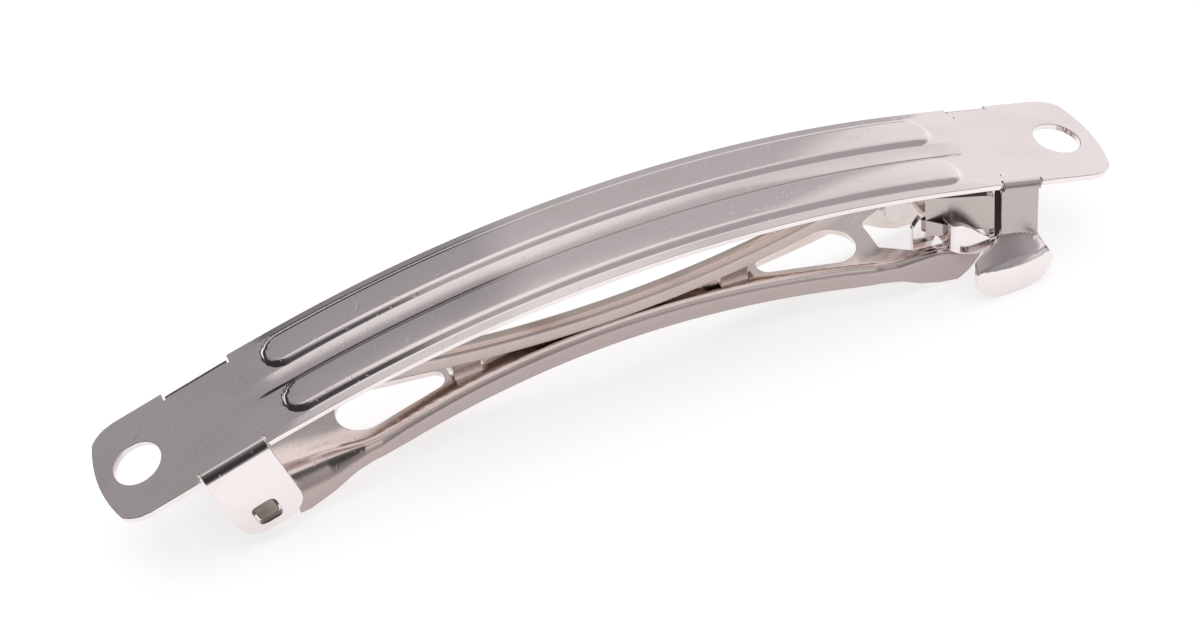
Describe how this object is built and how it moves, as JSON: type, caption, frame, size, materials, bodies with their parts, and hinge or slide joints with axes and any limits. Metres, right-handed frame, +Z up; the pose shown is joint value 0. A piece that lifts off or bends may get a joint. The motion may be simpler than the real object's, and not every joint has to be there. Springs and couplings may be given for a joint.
{
  "type": "barrette clip",
  "caption": "Bowed sheet-metal barrette clip with ribbed top plate, hinged clasp arm, bow bar and squeeze-to-open wings.",
  "frame": {"origin": "on the ground under the middle of the clip, at the height of the finger pads' lower edges", "axes": "+X along the clip from the hinge to the latch, +Y from front to back, +Z up through the top plate"},
  "size_m": [0.08, 0.0138, 0.0144],
  "materials": {
    "plate_nickel": "bright nickel plating on pressed steel sheet",
    "arm_nickel": "bright nickel plating, slightly warm",
    "bar_nickel": "nickel plating on spring steel, warm brown reflections"
  },
  "bodies": {
    "plate": {"top_plate": "plate_nickel"},
    "front_squeeze_wing": {"front_wing": "plate_nickel"},
    "back_squeeze_wing": {"back_wing": "plate_nickel"},
    "arm": {"clasp_arm": "arm_nickel", "bow_bar": "bar_nickel"}
  },
  "joints": [
    {"name": "arm_hinge", "type": "hinge", "parent": "plate", "child": "arm", "pos_m": [-0.02943, 0, 0.0033], "axis": [0, 1, 0], "range_deg": [0, 90]},
    {"name": "front_squeeze", "type": "hinge", "parent": "plate", "child": "front_squeeze_wing", "pos_m": [0.0307, -0.0048, 0.00767], "axis": [0.9603, 0, -0.279], "range_deg": [0, 5], "stiffness_Nm_per_rad": 0.2},
    {"name": "back_squeeze", "type": "hinge", "parent": "plate", "child": "back_squeeze_wing", "pos_m": [0.0307, 0.0048, 0.00767], "axis": [-0.9603, 0, 0.279], "range_deg": [0, 5], "stiffness_Nm_per_rad": 0.2}
  ]
}
